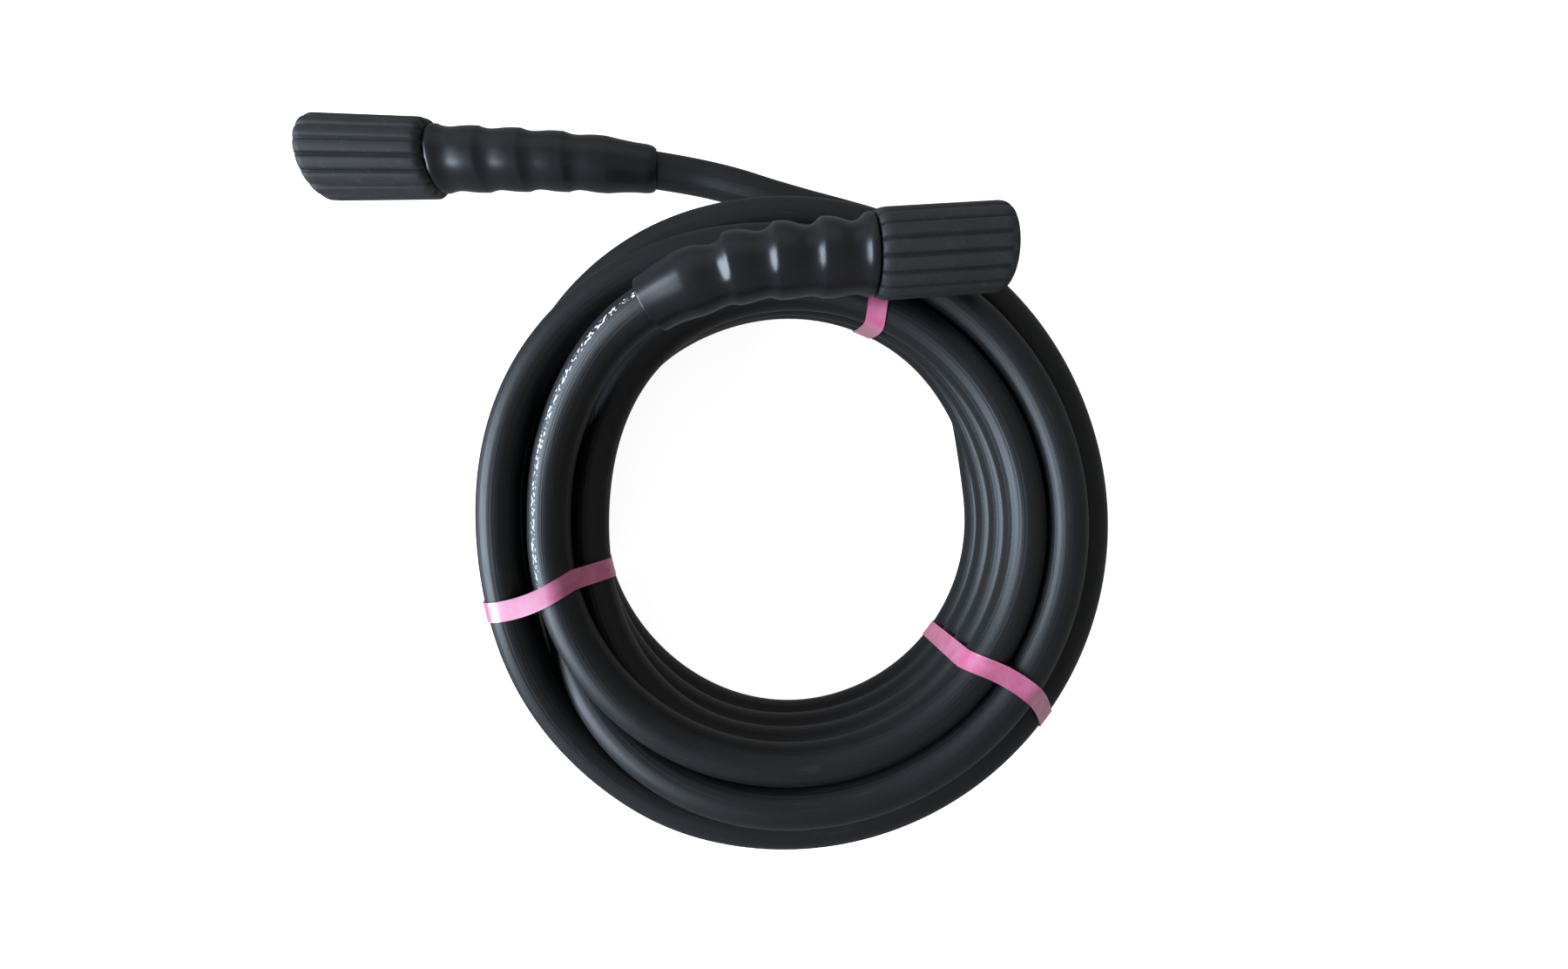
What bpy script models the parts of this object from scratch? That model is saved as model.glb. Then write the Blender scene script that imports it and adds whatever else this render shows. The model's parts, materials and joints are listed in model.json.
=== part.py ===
"""High pressure washer hose, coiled and tied, with a screw coupling on each end.

Metres, +Z up, standing on z = 0. The origin is under the middle of the whole
part's box. Places given "from the coil" are measured from the coil's own axis.
"""

import math

import bmesh
import bpy
from mathutils import Matrix, Vector

# Hose
HOSE_D = 0.016
HOSE_GAP = 0.0003
BORE_TO_HOSE = 0.0006

# Coil of turns: columns counted outwards and levels counted upwards, both from 0
COIL_INNER_R = 0.0838
COLUMNS = 3
LEVELS_PER_COLUMN = (4, 4, 3)
COIL_STEPS = 54
BUMP_HALF_ANGLE = 60
BUMP_SEGMENTS = 3

# Where the turns lean out of line: level, first and last column, azimuth and half width
# in degrees, and how far outwards
LEANS = (
    (0, 0, 1, 120, 60, 0.0085),
    (0, 0, 1, 60, 60, 0.0085),
    (0, 0, 2, 222, 60, -0.0020),
    (1, 0, 2, 120, 60, 0.0050),
    (1, 0, 2, 60, 60, 0.0050),
    (1, 0, 2, 195, 65, -0.0030),
    (2, 0, 2, 120, 60, 0.0020),
    (2, 0, 2, 60, 60, 0.0020),
    (2, 0, 2, 180, 75, -0.0090),
    (3, 1, 2, 142, 62, 0.0080),
)

# Straps
STRAP_WIDTH = 0.0076
STRAP_THICKNESS = 0.0005
STRAP_GAP = 0.0007
STRAP_BOW = 0.005
STRAP_AZIMUTHS = {"strap_left": -164.7, "strap_right": -37.3, "strap_top": 67.0}
STRAP_ARC_SEGMENTS = 3

# Hand nuts: lengths run from the back face towards the mouth
NUT_A_LENGTH = 0.053
NUT_A_MOUTH_D = 0.0352
NUT_A_BACK_D = 0.0332
NUT_B_LENGTH = 0.0464
NUT_B_MOUTH_D = 0.0310
NUT_B_BACK_D = 0.0310
NUT_BACK_FACE_D = 0.0274
NUT_BACK_TAPER = 0.004
NUT_MOUTH_ROUNDING = 0.0046
NUT_MOUTH_FACE_D = 0.0268
NUT_ROUNDING_STEPS = 3
NUT_RIBS = 16
NUT_RIB_HEIGHT = 0.0011
NUT_GROOVE_END = 0.0018
NUT_POINTS_PER_RIB = 4
NUT_ENTRY_D = 0.0236
NUT_FLOOR = 0.014
RUN_CLEARANCE = 0.0003

# Threaded insert in the nut
INSERT_D = 0.026
INSERT_LENGTH = 0.0284
THREAD_D = 0.0205
INSERT_BACK_WALL = 0.004

# Stem with its probe
STEM_NECK_D = 0.0158
STEM_COLLAR_D = 0.0192
STEM_COLLAR = 0.003
PROBE_D = 0.014
PROBE_LENGTH = 0.019
PROBE_NOSE = 0.0015
STEM_BORE_D = 0.006
O_RING_SECTION = 0.0018
O_RING_SEAT_D = 0.0106
O_RING_FROM_TIP = 0.008
O_RING_SEAT_WIDTH = 0.0026

# Crimped ferrule between the stem and the hose
FERRULE_D = 0.0186
FERRULE_LENGTH = 0.030
FERRULE_LIP = 0.0022
FERRULE_LIP_D = 0.0116
STEM_DISC = 0.003

# Bend restrictor: a soft sleeve with finger bumps, from the nut's back face
SLEEVE_A_LENGTH = 0.092
SLEEVE_A_LAST_BUMP = 0.075
SLEEVE_B_LENGTH = 0.0815
SLEEVE_B_LAST_BUMP = 0.0655
SLEEVE_CLEARANCE = 0.0008
SLEEVE_BUMPS = 5
SLEEVE_FIRST_BUMP = 0.003
SLEEVE_FIRST_D = 0.0280
SLEEVE_LAST_D = 0.0236
SLEEVE_VALLEY_DEPTH = 0.0008
SLEEVE_FINGER_DEPTH = 0.0024
SLEEVE_TAIL_D = 0.0206
SLEEVE_ROWS_PER_BUMP = 6
SLEEVE_BORE_ROWS = 6

# Coupling A lies on the floor beside the coil, its mouth towards -X: how far along from
# the coil's axis its nut starts, and how far outside the coil its own axis runs
A_ALONG = -0.156
A_OUTSIDE = 0.0291
A_YAW = 180
A_FLOOR_GAP = 0.0003
A_DROOP = 12
A_FINGER_SIDE = 90

# Coupling B lies on top of the coil, its mouth towards +X: the azimuth at which its nut
# starts, and how far outside the middle of the inner turns
B_AZIMUTH = 73.1
B_OUTSIDE = 0.0078
B_YAW = 5
B_PITCH = -2.5
B_LIFT = 0.0004
B_PLAN_BEND = 22
B_DROOP = 20
B_FINGER_SIDE = 20

# Last turn: the top of the inner column, from under coupling B round to its sleeve
LAST_TURN_START = 68
LAST_TURN_END = -182
LAST_TURN_STEP = 8

# Route of the free end from coupling A's sleeve to the coil's side: azimuth round the
# coil's axis in degrees, and the hose's clearance from the coil's outer side
TAIL_A_ROUTE = (
    (104.7, 0.0245),
    (98.7, 0.0168),
    (92.8, 0.0102),
    (86.3, 0.0056),
    (79.3, 0.0033),
    (72.1, 0.0026),
    (64.0, 0.0022),
    (55.5, 0.0012),
    (46.7, 0.0005),
)
FLOOR_GAP = 0.0002
ROUTE_SPACING = 0.012

TURN_STEPS = 20
CURVE_SIDES_RESOLUTION = 2

HOSE_R = HOSE_D / 2
PITCH = HOSE_D + HOSE_GAP
COIL_BASE = STRAP_THICKNESS + STRAP_GAP
TOP_LEVEL = max(LEVELS_PER_COLUMN) - 1
COIL_OUTER_R = COIL_INNER_R + 2 * HOSE_R + (COLUMNS - 1) * PITCH
COIL_TOP = COIL_BASE + 2 * HOSE_R + TOP_LEVEL * PITCH
STRAP_TOP = COIL_TOP + STRAP_GAP + STRAP_THICKNESS

FERRULE_END = 3 * RUN_CLEARANCE + FERRULE_LENGTH
A_AXIS_Z = NUT_A_MOUTH_D / 2 + A_FLOOR_GAP
B_NUT_DROP = NUT_B_BACK_D / 2 * math.cos(math.radians(B_PITCH)) - NUT_BACK_TAPER * math.sin(math.radians(B_PITCH))
B_AXIS_Z = STRAP_TOP + B_LIFT + B_NUT_DROP

LOW_X = A_ALONG - NUT_A_LENGTH
HIGH_Y = COIL_OUTER_R + A_OUTSIDE + NUT_A_MOUTH_D / 2
COIL_X = -(LOW_X + COIL_OUTER_R) / 2
COIL_Y = -(HIGH_Y - COIL_OUTER_R) / 2

# Nut length, its diameters at mouth and back, sleeve length and last crest, for each end
END_SIZES = {
    "a": (NUT_A_LENGTH, NUT_A_MOUTH_D, NUT_A_BACK_D, SLEEVE_A_LENGTH, SLEEVE_A_LAST_BUMP),
    "b": (NUT_B_LENGTH, NUT_B_MOUTH_D, NUT_B_BACK_D, SLEEVE_B_LENGTH, SLEEVE_B_LAST_BUMP),
}


def material(name, colour, roughness, metallic=0.0):
    """A plain Principled material."""
    made = bpy.data.materials.new(name)
    made.use_nodes = True
    shader = made.node_tree.nodes["Principled BSDF"]
    shader.inputs["Base Color"].default_value = (*colour, 1.0)
    shader.inputs["Roughness"].default_value = roughness
    shader.inputs["Metallic"].default_value = metallic
    return made


def add_object(name, mesh, finish, parent=None):
    """Puts a mesh in the scene under a name, with its finish."""
    piece = bpy.data.objects.new(name, mesh)
    bpy.context.scene.collection.objects.link(piece)
    mesh.materials.append(finish)
    piece.parent = parent
    return piece


def mesh_from(bm, name):
    """Closes a bmesh into a smooth shaded mesh whose faces point out."""
    bmesh.ops.recalc_face_normals(bm, faces=bm.faces)
    mesh = bpy.data.meshes.new(name)
    bm.to_mesh(mesh)
    bm.free()
    mesh.shade_smooth()
    mesh.set_sharp_from_angle(angle=math.radians(35))
    return mesh


def lofted(name, loops, finish):
    """A ring shaped solid through closed loops of points, the last joined to the first."""
    bm = bmesh.new()
    rows = [[bm.verts.new(point) for point in loop] for loop in loops]
    for row, following in zip(rows, rows[1:] + rows[:1]):
        for i in range(len(row)):
            j = (i + 1) % len(row)
            bm.faces.new((row[i], row[j], following[j], following[i]))
    return add_object(name, mesh_from(bm, name), finish)


def turned(name, outline, finish, parent, steps=TURN_STEPS, reshape=None):
    """A closed outline of (along, radius) turned about the X axis, then reshaped point by point."""
    bm = bmesh.new()
    verts = [bm.verts.new((along, 0, radius)) for along, radius in outline]
    edges = [bm.edges.new(pair) for pair in zip(verts, verts[1:] + verts[:1])]
    bmesh.ops.spin(
        bm, geom=verts + edges, cent=(0, 0, 0), axis=(1, 0, 0), angle=math.tau, steps=steps, use_merge=True
    )
    if reshape:
        for vert in bm.verts:
            vert.co = reshape(vert.co.copy())
    return add_object(name, mesh_from(bm, name), finish, parent)


def window(azimuth, middle, half_width):
    """1 at a middle azimuth, easing to 0 at a half width from it, in degrees."""
    away = abs((azimuth - middle + 180) % 360 - 180)
    return math.cos(math.pi / 2 * away / half_width) ** 2 if away < half_width else 0.0


def station(column, level, azimuth):
    """Where one turn of the coil runs at an azimuth: its radius and height."""
    radius = COIL_INNER_R + HOSE_R + column * PITCH
    height = COIL_BASE + HOSE_R + level * PITCH
    for leaning, first, last, middle, half_width, outwards in LEANS:
        if level == leaning and first <= column <= last:
            radius += outwards * window(azimuth, middle, half_width)
    return radius, height


def at_azimuth(radius, height, azimuth):
    """A point round the coil's axis."""
    turn = math.radians(azimuth)
    return Vector((COIL_X + radius * math.cos(turn), COIL_Y + radius * math.sin(turn), height))


def bump(column, level, azimuth, first, last):
    """Part of a turn's round side, between two angles in degrees."""
    radius, height = station(column, level, azimuth)
    count = max(2, round(abs(last - first) / (2 * BUMP_HALF_ANGLE) * BUMP_SEGMENTS))
    angles = [math.radians(first + (last - first) * i / count) for i in range(count + 1)]
    return [(radius + HOSE_R * math.cos(a), height + HOSE_R * math.sin(a)) for a in angles]


def coil_section(azimuth):
    """The coil's outline at an azimuth, without the last turn, which lies in its inner top corner."""
    half = BUMP_HALF_ANGLE
    inner_top = LEVELS_PER_COLUMN[0] - 2
    outer = COLUMNS - 1
    outer_top = LEVELS_PER_COLUMN[outer] - 1
    points = bump(0, 0, azimuth, 270 + half - 30, 180 - half)
    for level in range(1, inner_top):
        points += bump(0, level, azimuth, 180 + half, 180 - half)
    points += bump(0, inner_top, azimuth, 180 + half, half)
    for column in range(1, outer):
        points += bump(column, LEVELS_PER_COLUMN[column] - 1, azimuth, 225, -15)
    points += bump(outer, outer_top, azimuth, 105, -half)
    for level in range(outer_top - 1, 0, -1):
        points += bump(outer, level, azimuth, half, -half)
    points += bump(outer, 0, azimuth, half, -90 - half)
    for column in range(outer - 1, 0, -1):
        points += bump(column, 0, azimuth, -90 + half, -90 - half)
    return points


def add_coil(finish):
    """The tied turns as one solid, with the turns showing all round it."""
    azimuths = [360 * i / COIL_STEPS for i in range(COIL_STEPS)]
    loops = [[at_azimuth(r, z, azimuth) for r, z in coil_section(azimuth)] for azimuth in azimuths]
    lofted("hose_coil", loops, finish)


def outer_centres(azimuth):
    """The turns at the corners of the coil's section, anticlockwise."""
    centres = sorted(
        station(column, level, azimuth) for column in range(COLUMNS) for level in range(LEVELS_PER_COLUMN[column])
    )
    chains = []
    for ordered in (centres, centres[::-1]):
        chain = []
        for point in ordered:
            while len(chain) > 1 and cross(chain[-2], chain[-1], point) <= 1e-12:
                chain.pop()
            chain.append(point)
        chains += chain[:-1]
    return chains


def cross(first, second, third):
    """Twice the area that three points span, positive when they turn left."""
    along = (second[0] - first[0], second[1] - first[1])
    on = (third[0] - first[0], third[1] - first[1])
    return along[0] * on[1] - along[1] * on[0]


def wrapped(centres, reach):
    """A band's outline at a reach round the corner turns, with an arc at each corner."""
    points = []
    count = len(centres)
    for i, centre in enumerate(centres):
        before, after = centres[i - 1], centres[(i + 1) % count]
        first = math.atan2(centre[1] - before[1], centre[0] - before[0]) - math.pi / 2
        last = math.atan2(after[1] - centre[1], after[0] - centre[0]) - math.pi / 2
        sweep = (last - first) % math.tau
        for step in range(STRAP_ARC_SEGMENTS + 1):
            angle = first + sweep * step / STRAP_ARC_SEGMENTS
            points.append((centre[0] + reach * math.cos(angle), centre[1] + reach * math.sin(angle)))
    return points


def add_strap(name, azimuth, finish):
    """A flat band tied round the coil's section, bowed sideways over its middle."""
    centres = outer_centres(azimuth)
    inside = wrapped(centres, HOSE_R + STRAP_GAP)
    outside = wrapped(centres, HOSE_R + STRAP_GAP + STRAP_THICKNESS)
    turn = math.radians(azimuth)
    across = Vector((-math.sin(turn), math.cos(turn), 0))
    sideways = across * STRAP_WIDTH / 2
    loops = []
    for (r_in, z_in), (r_out, z_out) in zip(inside, outside):
        share = min(max((r_in - COIL_INNER_R) / (COIL_OUTER_R - COIL_INNER_R), 0), 1)
        bow = across * STRAP_BOW * 4 * share * (1 - share)
        near = at_azimuth(r_in, z_in, azimuth) + bow
        far = at_azimuth(r_out, z_out, azimuth) + bow
        loops.append([near - sideways, near + sideways, far + sideways, far - sideways])
    lofted(name, loops, finish)


def mouth_rounding(length, mouth_d):
    """A hand nut's rounded shoulder, from its full diameter to its mouth's face."""
    drop = (mouth_d - NUT_MOUTH_FACE_D) / 2
    start = length - NUT_MOUTH_ROUNDING
    turns = [math.pi / 2 * i / NUT_ROUNDING_STEPS for i in range(NUT_ROUNDING_STEPS + 1)]
    return [(start + NUT_MOUTH_ROUNDING * math.sin(a), mouth_d / 2 - drop * (1 - math.cos(a))) for a in turns]


def nut_outline(length, mouth_d, back_d):
    """A hand nut's outline, from its back face round the outside and back down its bore."""
    bore = INSERT_D / 2 + RUN_CLEARANCE
    entry_at = NUT_FLOOR + INSERT_LENGTH + 2 * RUN_CLEARANCE
    return [
        (0, STEM_NECK_D / 2 + 2 * RUN_CLEARANCE),
        (0, NUT_BACK_FACE_D / 2),
        (NUT_BACK_TAPER * 0.6, back_d / 2 - NUT_RIB_HEIGHT),
        (NUT_BACK_TAPER, back_d / 2),
        (length * 0.5, (back_d + mouth_d) / 4),
        *mouth_rounding(length, mouth_d),
        (length, NUT_ENTRY_D / 2),
        (entry_at, NUT_ENTRY_D / 2),
        (entry_at, bore),
        (NUT_FLOOR, bore),
        (NUT_FLOOR, STEM_NECK_D / 2 + 2 * RUN_CLEARANCE),
    ]


def fluted(length):
    """A function that sinks one point in each rib's share of a nut's outside, so that grooves part the broad ribs."""

    def sink(point):
        radius = math.hypot(point.y, point.z)
        place = math.atan2(point.y, point.z) / math.tau * NUT_RIBS * NUT_POINTS_PER_RIB
        in_grooves = NUT_BACK_TAPER - 1e-6 <= point.x <= length - NUT_GROOVE_END
        if not in_grooves or radius < INSERT_D / 2 + NUT_RIB_HEIGHT or round(place) % NUT_POINTS_PER_RIB:
            return point
        scale = (radius - NUT_RIB_HEIGHT) / radius
        return Vector((point.x, point.y * scale, point.z * scale))

    return sink


def insert_outline():
    """The brass insert's outline: a threaded sleeve whose back wall holds the stem's collar."""
    start = NUT_FLOOR + RUN_CLEARANCE
    end = start + INSERT_LENGTH
    hole = STEM_NECK_D / 2 + RUN_CLEARANCE
    return [
        (start, hole),
        (start, INSERT_D / 2),
        (end, INSERT_D / 2),
        (end, THREAD_D / 2),
        (start + INSERT_BACK_WALL, THREAD_D / 2),
        (start + INSERT_BACK_WALL, hole),
    ]


def stem_places():
    """Where the stem's collar and its tip lie along the coupling."""
    collar = NUT_FLOOR + INSERT_BACK_WALL + 2 * RUN_CLEARANCE
    return collar, collar + STEM_COLLAR + PROBE_LENGTH


def stem_outline():
    """The stem's outline: a disc in the ferrule, a neck, a collar and the probe, with a bore."""
    collar, tip = stem_places()
    seat = tip - O_RING_FROM_TIP
    disc_r = HOSE_R - RUN_CLEARANCE
    lip_back = -RUN_CLEARANCE * 3 - FERRULE_LIP - RUN_CLEARANCE
    return [
        (lip_back - STEM_DISC, STEM_BORE_D / 2),
        (lip_back - STEM_DISC, disc_r),
        (lip_back, disc_r),
        (lip_back, FERRULE_LIP_D / 2 - RUN_CLEARANCE),
        (-RUN_CLEARANCE * 2, FERRULE_LIP_D / 2 - RUN_CLEARANCE),
        (-RUN_CLEARANCE * 2, STEM_NECK_D / 2),
        (collar, STEM_NECK_D / 2),
        (collar, STEM_COLLAR_D / 2),
        (collar + STEM_COLLAR, STEM_COLLAR_D / 2),
        (collar + STEM_COLLAR, PROBE_D / 2),
        (seat - O_RING_SEAT_WIDTH, PROBE_D / 2),
        (seat - O_RING_SEAT_WIDTH, O_RING_SEAT_D / 2),
        (seat, O_RING_SEAT_D / 2),
        (seat, PROBE_D / 2),
        (tip - PROBE_NOSE, PROBE_D / 2),
        (tip, PROBE_D / 2 - PROBE_NOSE),
        (tip, STEM_BORE_D / 2),
    ]


def o_ring_outline():
    """The O ring's round section in its seat near the probe's tip."""
    middle = stem_places()[1] - O_RING_FROM_TIP - O_RING_SEAT_WIDTH / 2
    radius = O_RING_SEAT_D / 2 + RUN_CLEARANCE + O_RING_SECTION / 2
    angles = [math.tau * i / 8 for i in range(8)]
    return [
        (middle + O_RING_SECTION / 2 * math.sin(a), radius + O_RING_SECTION / 2 * math.cos(a)) for a in angles
    ]


def ferrule_outline():
    """The ferrule's outline: a sleeve over the hose's end with a lip behind the stem's shoulder."""
    front = -RUN_CLEARANCE * 3
    bore = HOSE_R + RUN_CLEARANCE
    return [
        (front, FERRULE_LIP_D / 2),
        (front - FERRULE_LIP, FERRULE_LIP_D / 2),
        (front - FERRULE_LIP, bore),
        (front - FERRULE_LENGTH, bore),
        (front - FERRULE_LENGTH, FERRULE_D / 2),
        (front, FERRULE_D / 2),
    ]


def sleeve_crest(back, length, last_bump):
    """A bend restrictor's radius over its crests, at a distance behind the nut's back face."""
    along = (back - SLEEVE_FIRST_BUMP) / (last_bump - SLEEVE_FIRST_BUMP)
    if along <= 1:
        return (SLEEVE_FIRST_D + (SLEEVE_LAST_D - SLEEVE_FIRST_D) * along) / 2
    fade = (back - last_bump) / (length - last_bump)
    return SLEEVE_LAST_D / 2 + (SLEEVE_TAIL_D - SLEEVE_LAST_D) / 2 * math.sin(fade * math.pi / 2)


def sleeve_hollow(back, last_bump):
    """How deep the finger hollows between the crests are, from 0 on a crest to 1 in a hollow."""
    if not SLEEVE_FIRST_BUMP < back < last_bump:
        return 0.0
    along = (back - SLEEVE_FIRST_BUMP) / (last_bump - SLEEVE_FIRST_BUMP)
    return abs(math.sin(math.pi * along * (SLEEVE_BUMPS - 1)))


def hollowed(finger_side, last_bump):
    """A function that sinks the hollows into a sleeve's outside, deeper on its finger side."""
    side = math.radians(finger_side)
    inside = max(HOSE_R + BORE_TO_HOSE, FERRULE_D / 2 + BORE_TO_HOSE) + RUN_CLEARANCE

    def hollow(point):
        radius = math.hypot(point.y, point.z)
        if radius < inside or -point.x > last_bump:
            return point
        facing = math.cos(math.atan2(point.z, point.y) - side)
        depth = SLEEVE_VALLEY_DEPTH + (SLEEVE_FINGER_DEPTH - SLEEVE_VALLEY_DEPTH) * max(facing, 0) ** 2
        scale = 1 - depth * sleeve_hollow(-point.x, last_bump) / radius
        return Vector((point.x, point.y * scale, point.z * scale))

    return hollow


def sleeve_outline(length, last_bump):
    """A bend restrictor's outline: its crests outside, and a bore for the ferrule and the hose."""
    front = RUN_CLEARANCE * 2
    spacing = (last_bump - SLEEVE_FIRST_BUMP) / (SLEEVE_BUMPS - 1)
    row = spacing / SLEEVE_ROWS_PER_BUMP
    tail_rows = round((length - last_bump) / row)
    backs = [front]
    backs += [SLEEVE_FIRST_BUMP + row * i for i in range((SLEEVE_BUMPS - 1) * SLEEVE_ROWS_PER_BUMP + 1)]
    backs += [last_bump + (length - last_bump) * i / tail_rows for i in range(1, tail_rows + 1)]
    outside = [(-back, sleeve_crest(back, length, last_bump)) for back in backs]
    step_at = -FERRULE_END - SLEEVE_CLEARANCE
    wide = FERRULE_D / 2 + BORE_TO_HOSE
    narrow = HOSE_R + BORE_TO_HOSE
    inside = [(-length, narrow)]
    inside += [
        (step_at - (length + step_at) * i / SLEEVE_BORE_ROWS, narrow) for i in reversed(range(SLEEVE_BORE_ROWS))
    ]
    inside += [(step_at, wide), (step_at / 2, wide), (-front, wide)]
    return outside + inside


def bending(end, plan_bend, droop):
    """A function that bends what lies behind the ferrule to one side and down, in an even curve."""
    total = math.radians(math.hypot(plan_bend, droop))
    radius = (END_SIZES[end][3] - FERRULE_END) / total
    side = Vector((0, plan_bend, -droop)).normalized()
    across = Vector((1, 0, 0)).cross(side)
    back = Vector((-1, 0, 0))
    start = back * FERRULE_END

    def bend(point):
        if -point.x <= FERRULE_END:
            return point
        angle = (-point.x - FERRULE_END) / radius
        middle = start + back * radius * math.sin(angle) + side * radius * (1 - math.cos(angle))
        outward = side * math.cos(angle) - back * math.sin(angle)
        offset = Vector((0, point.y, point.z))
        return middle + outward * offset.dot(side) + across * offset.dot(across)

    return bend


def coupling_a_place():
    """Where coupling A lies: its X axis runs out of its mouth, from its nut's back face."""
    spot = Vector((COIL_X + A_ALONG, COIL_Y + COIL_OUTER_R + A_OUTSIDE, A_AXIS_Z))
    return Matrix.Translation(spot) @ Matrix.Rotation(math.radians(A_YAW), 4, "Z")


def coupling_b_place():
    """Where coupling B lies, in the same way."""
    spot = at_azimuth(COIL_INNER_R + HOSE_R + B_OUTSIDE, B_AXIS_Z, B_AZIMUTH)
    turn = Matrix.Rotation(math.radians(B_YAW), 4, "Z") @ Matrix.Rotation(math.radians(-B_PITCH), 4, "Y")
    return Matrix.Translation(spot) @ turn


def add_coupling(end, place, bend, finger_side, finishes):
    """One end's screw coupling: nut, insert, stem, O ring, ferrule and bend restrictor."""
    nut_length, mouth_d, back_d, sleeve_length, last_bump = END_SIZES[end]
    hollow = hollowed(finger_side, last_bump)
    nut = nut_outline(nut_length, mouth_d, back_d)
    sleeve = sleeve_outline(sleeve_length, last_bump)
    holder = bpy.data.objects.new(f"coupling_{end}", None)
    bpy.context.scene.collection.objects.link(holder)
    holder.matrix_world = place
    around = NUT_RIBS * NUT_POINTS_PER_RIB
    turned(f"hand_nut_{end}", nut, finishes["nut"], holder, around, fluted(nut_length))
    turned(f"thread_insert_{end}", insert_outline(), finishes["brass"], holder)
    turned(f"stem_{end}", stem_outline(), finishes["brass"], holder)
    turned(f"o_ring_{end}", o_ring_outline(), finishes["seal"], holder)
    turned(f"ferrule_{end}", ferrule_outline(), finishes["steel"], holder)
    turned(f"bend_restrictor_{end}", sleeve, finishes["sleeve"], holder, reshape=lambda point: bend(hollow(point)))


def hose_in_coupling(end, place, bend):
    """The hose's middle inside a coupling, from the stem's disc to the sleeve's tail, as world points."""
    length = END_SIZES[end][3]
    first = RUN_CLEARANCE * 5 + FERRULE_LIP + STEM_DISC
    count = round((length - first) / ROUTE_SPACING)
    backs = [first + (length - first) * i / count for i in range(count + 1)]
    return [place @ bend(Vector((-back, 0, 0))) for back in backs]


def smooth_route(points, spacing, start_way, end_way):
    """Points at an even spacing on one smooth curve through a route's points, with its direction at each end."""
    fine = []
    before = points[1] - 2 * start_way * (points[1] - points[0]).length
    after = points[-2] + 2 * end_way * (points[-1] - points[-2]).length
    padded = [before, *points, after]
    for p0, p1, p2, p3 in zip(padded, padded[1:], padded[2:], padded[3:]):
        for i in range(20):
            t = i / 20
            fine.append(
                0.5 * (2 * p1 + (p2 - p0) * t + (2 * p0 - 5 * p1 + 4 * p2 - p3) * t**2 + (3 * p1 - p0 - 3 * p2 + p3) * t**3)
            )
    fine.append(points[-1])
    steps = [(b - a).length for a, b in zip(fine, fine[1:])]
    count = max(2, round(sum(steps) / spacing))
    even, walked, at = [points[0]], 0.0, 0
    for i in range(1, count):
        target = sum(steps) * i / count
        while walked + steps[at] < target:
            walked += steps[at]
            at += 1
        even.append(fine[at].lerp(fine[at + 1], (target - walked) / steps[at]))
    return even + [points[-1]]


def add_hose(name, points, finish):
    """A length of hose as a round tube with closed ends."""
    curve = bpy.data.curves.new(name, "CURVE")
    curve.dimensions = "3D"
    curve.bevel_depth = HOSE_R
    curve.bevel_resolution = CURVE_SIDES_RESOLUTION
    curve.use_fill_caps = True
    spline = curve.splines.new("POLY")
    spline.points.add(len(points) - 1)
    for knot, point in zip(spline.points, points):
        knot.co = (*point, 1)
    add_object(name, curve, finish)


def add_tail_a(place, bend, finish):
    """The free end: from coupling A along the floor to the coil's outer side."""
    inside = hose_in_coupling("a", place, bend)
    floor = HOSE_R + FLOOR_GAP
    route = [at_azimuth(COIL_OUTER_R + clearance + HOSE_R, floor, azimuth) for azimuth, clearance in TAIL_A_ROUTE]
    start_way = (inside[-1] - inside[-2]).normalized()
    end_way = (route[-1] - route[-2]).normalized()
    laid = smooth_route([inside[-1]] + route, ROUTE_SPACING, start_way, end_way)
    add_hose("hose_tail_a", inside + laid[1:], finish)


def add_last_turn(place, bend, finish):
    """The top inner turn, from under coupling B once round the coil and up into its sleeve."""
    inside = hose_in_coupling("b", place, bend)
    count = round((LAST_TURN_START - LAST_TURN_END) / LAST_TURN_STEP)
    azimuths = [LAST_TURN_START + (LAST_TURN_END - LAST_TURN_START) * i / count for i in range(count + 1)]
    turn = [at_azimuth(*station(0, TOP_LEVEL, azimuth), azimuth) for azimuth in azimuths]
    end = math.radians(azimuths[-1])
    start_way = Vector((math.sin(end), -math.cos(end), 0))
    end_way = (inside[-2] - inside[-1]).normalized()
    rise = smooth_route([turn[-1], inside[-1]], ROUTE_SPACING, start_way, end_way)
    add_hose("hose_last_turn", turn + rise[1:-1] + inside[::-1], finish)


def main():
    """Builds the whole hose."""
    for piece in list(bpy.data.objects):
        bpy.data.objects.remove(piece, do_unlink=True)
    rubber = material("hose_rubber", (0.016, 0.017, 0.02), 0.42)
    finishes = {
        "nut": material("nut_plastic", (0.03, 0.031, 0.034), 0.5),
        "brass": material("brass", (0.72, 0.5, 0.22), 0.3, 1.0),
        "seal": material("seal_rubber", (0.012, 0.012, 0.012), 0.6),
        "steel": material("plated_steel", (0.62, 0.6, 0.52), 0.35, 1.0),
        "sleeve": material("sleeve_plastic", (0.018, 0.019, 0.022), 0.36),
    }
    pink = material("strap_plastic", (0.78, 0.12, 0.34), 0.3)
    add_coil(rubber)
    for name, azimuth in STRAP_AZIMUTHS.items():
        add_strap(name, azimuth, pink)
    place_a = coupling_a_place()
    place_b = coupling_b_place()
    bend_a = bending("a", 0, A_DROOP)
    bend_b = bending("b", -B_PLAN_BEND, B_DROOP)
    add_coupling("a", place_a, bend_a, A_FINGER_SIDE, finishes)
    add_coupling("b", place_b, bend_b, B_FINGER_SIDE, finishes)
    add_tail_a(place_a, bend_a, rubber)
    add_last_turn(place_b, bend_b, rubber)


main()
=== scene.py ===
"""Looks of the high pressure washer hose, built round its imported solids.

Metres, +Z up, in the frame of the solids. Azimuths are degrees round the coil's own
axis, anticlockwise from +X. A coupling's own X axis runs out of its mouth and starts at
its nut's back face, so that what lies behind the nut has a negative X.
"""

import json
from math import atan2, cos, exp, hypot, pi, radians, sin, sqrt, tau

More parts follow.
